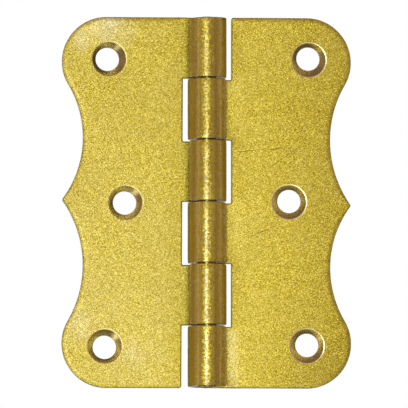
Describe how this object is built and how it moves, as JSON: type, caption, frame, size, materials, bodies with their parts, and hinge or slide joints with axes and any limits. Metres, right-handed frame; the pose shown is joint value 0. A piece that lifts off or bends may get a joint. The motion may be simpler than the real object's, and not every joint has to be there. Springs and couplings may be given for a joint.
{
  "type": "decorative butt hinge",
  "caption": "Brass-finished sheet hinge with scalloped leaves, rolled interleaved knuckles on a plain pin, and countersunk screw holes; the leaves swing shut front to front.",
  "frame": {"origin": "on the pin's axis at its mid length, with the hinge open flat", "axes": "+Z along the pin, the countersunk front faces look towards -Y, the left leaf lies on -X and the right leaf on +X"},
  "size_m": [0.0468, 0.0062, 0.0602],
  "materials": {
    "leaf_finish": "yellow brass plating over rolled sheet, fine grain",
    "pin_finish": "yellow brass plating over drawn wire"
  },
  "bodies": {
    "fixed_leaf": {"leaf_left": "leaf_finish", "hinge_pin": "pin_finish"},
    "swing_leaf": {"leaf_right": "leaf_finish"}
  },
  "joints": [
    {"name": "leaf_swing", "type": "hinge", "parent": "fixed_leaf", "child": "swing_leaf", "pos_m": [0, 0, 0], "axis": [0, 0, 1], "range_deg": [-180, 120]}
  ]
}
